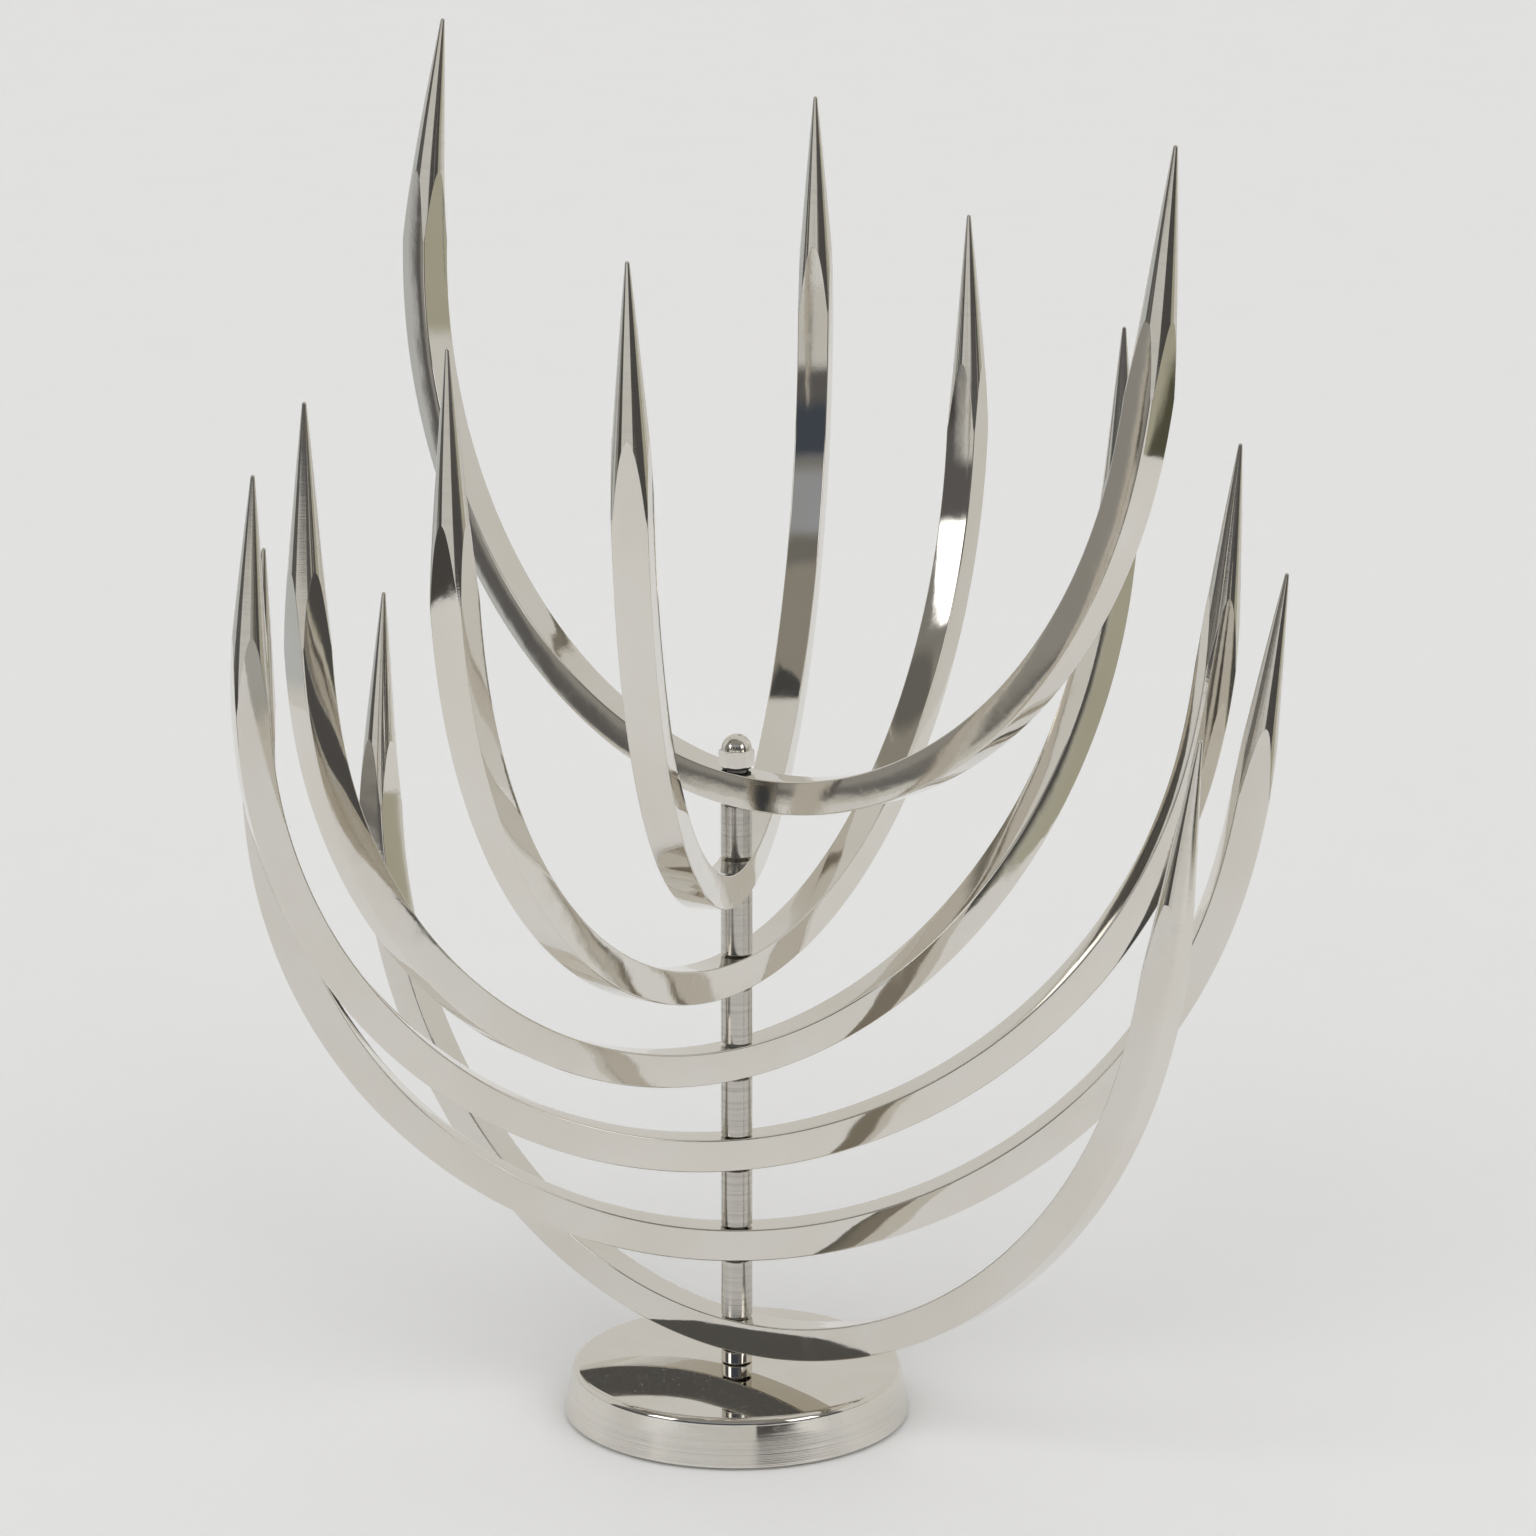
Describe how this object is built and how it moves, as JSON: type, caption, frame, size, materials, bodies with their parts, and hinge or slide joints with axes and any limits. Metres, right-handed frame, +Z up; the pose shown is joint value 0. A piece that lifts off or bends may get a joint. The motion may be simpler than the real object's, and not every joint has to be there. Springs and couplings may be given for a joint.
{
  "type": "table-top kinetic sculpture",
  "caption": "Table-top kinetic sculpture: curved square steel bars with needle points, stacked on a central rod between tubular sleeves so that each one turns, on a round base.",
  "frame": {"origin": "middle of the underside of the base, on the axis of the central rod", "axes": "+Z up along the central rod; +X to the viewer's right and +Y away from the viewer as pictured"},
  "size_m": [0.3118, 0.3054, 0.4158],
  "materials": {
    "polished_steel": "mirror-polished stainless steel",
    "turned_steel": "polished steel with fine turning lines",
    "sleeve_steel": "lightly brushed steel tube",
    "plain_steel": "plain zinc-bright steel",
    "black_nylon": "matte black",
    "felt": "dark felt"
  },
  "bodies": {
    "root": {"base": "turned_steel", "base_pad": "felt", "base_nut": "plain_steel", "base_washer": "plain_steel", "foot_sleeve": "polished_steel", "central_rod": "plain_steel", "cap_washer": "black_nylon", "domed_nut": "polished_steel"},
    "arc_7_body": {"arc_7": "polished_steel", "sleeve_6": "sleeve_steel"},
    "arc_6_body": {"arc_6": "polished_steel", "sleeve_5": "sleeve_steel"},
    "arc_5_body": {"arc_5": "polished_steel", "sleeve_4": "sleeve_steel"},
    "arc_4_body": {"arc_4": "polished_steel", "sleeve_3": "sleeve_steel"},
    "arc_3_body": {"arc_3": "polished_steel", "sleeve_2": "sleeve_steel"},
    "arc_2_body": {"arc_2": "polished_steel", "sleeve_1": "sleeve_steel"},
    "arc_1_body": {"arc_1": "polished_steel"}
  },
  "joints": [
    {"name": "arc_7_turn", "type": "hinge", "parent": "root", "child": "arc_7_body", "pos_m": [0, 0, 0.0252], "axis": [0, 0, 1], "continuous": true},
    {"name": "arc_6_turn", "type": "hinge", "parent": "arc_7_body", "child": "arc_6_body", "pos_m": [0, 0, 0.0543], "axis": [0, 0, 1], "range_deg": [-37, 40]},
    {"name": "arc_5_turn", "type": "hinge", "parent": "arc_6_body", "child": "arc_5_body", "pos_m": [0, 0, 0.0831], "axis": [0, 0, 1], "range_deg": [0, 34]},
    {"name": "arc_4_turn", "type": "hinge", "parent": "arc_5_body", "child": "arc_4_body", "pos_m": [0, 0, 0.1121], "axis": [0, 0, 1], "range_deg": [-14, 20]},
    {"name": "arc_3_turn", "type": "hinge", "parent": "arc_4_body", "child": "arc_3_body", "pos_m": [0, 0, 0.14], "axis": [0, 0, 1], "range_deg": [-15, 19]},
    {"name": "arc_2_turn", "type": "hinge", "parent": "arc_3_body", "child": "arc_2_body", "pos_m": [0, 0, 0.1702], "axis": [0, 0, 1], "range_deg": [-11, 23]},
    {"name": "arc_1_turn", "type": "hinge", "parent": "arc_2_body", "child": "arc_1_body", "pos_m": [0, 0, 0.197], "axis": [0, 0, 1], "range_deg": [-47, 31]}
  ]
}
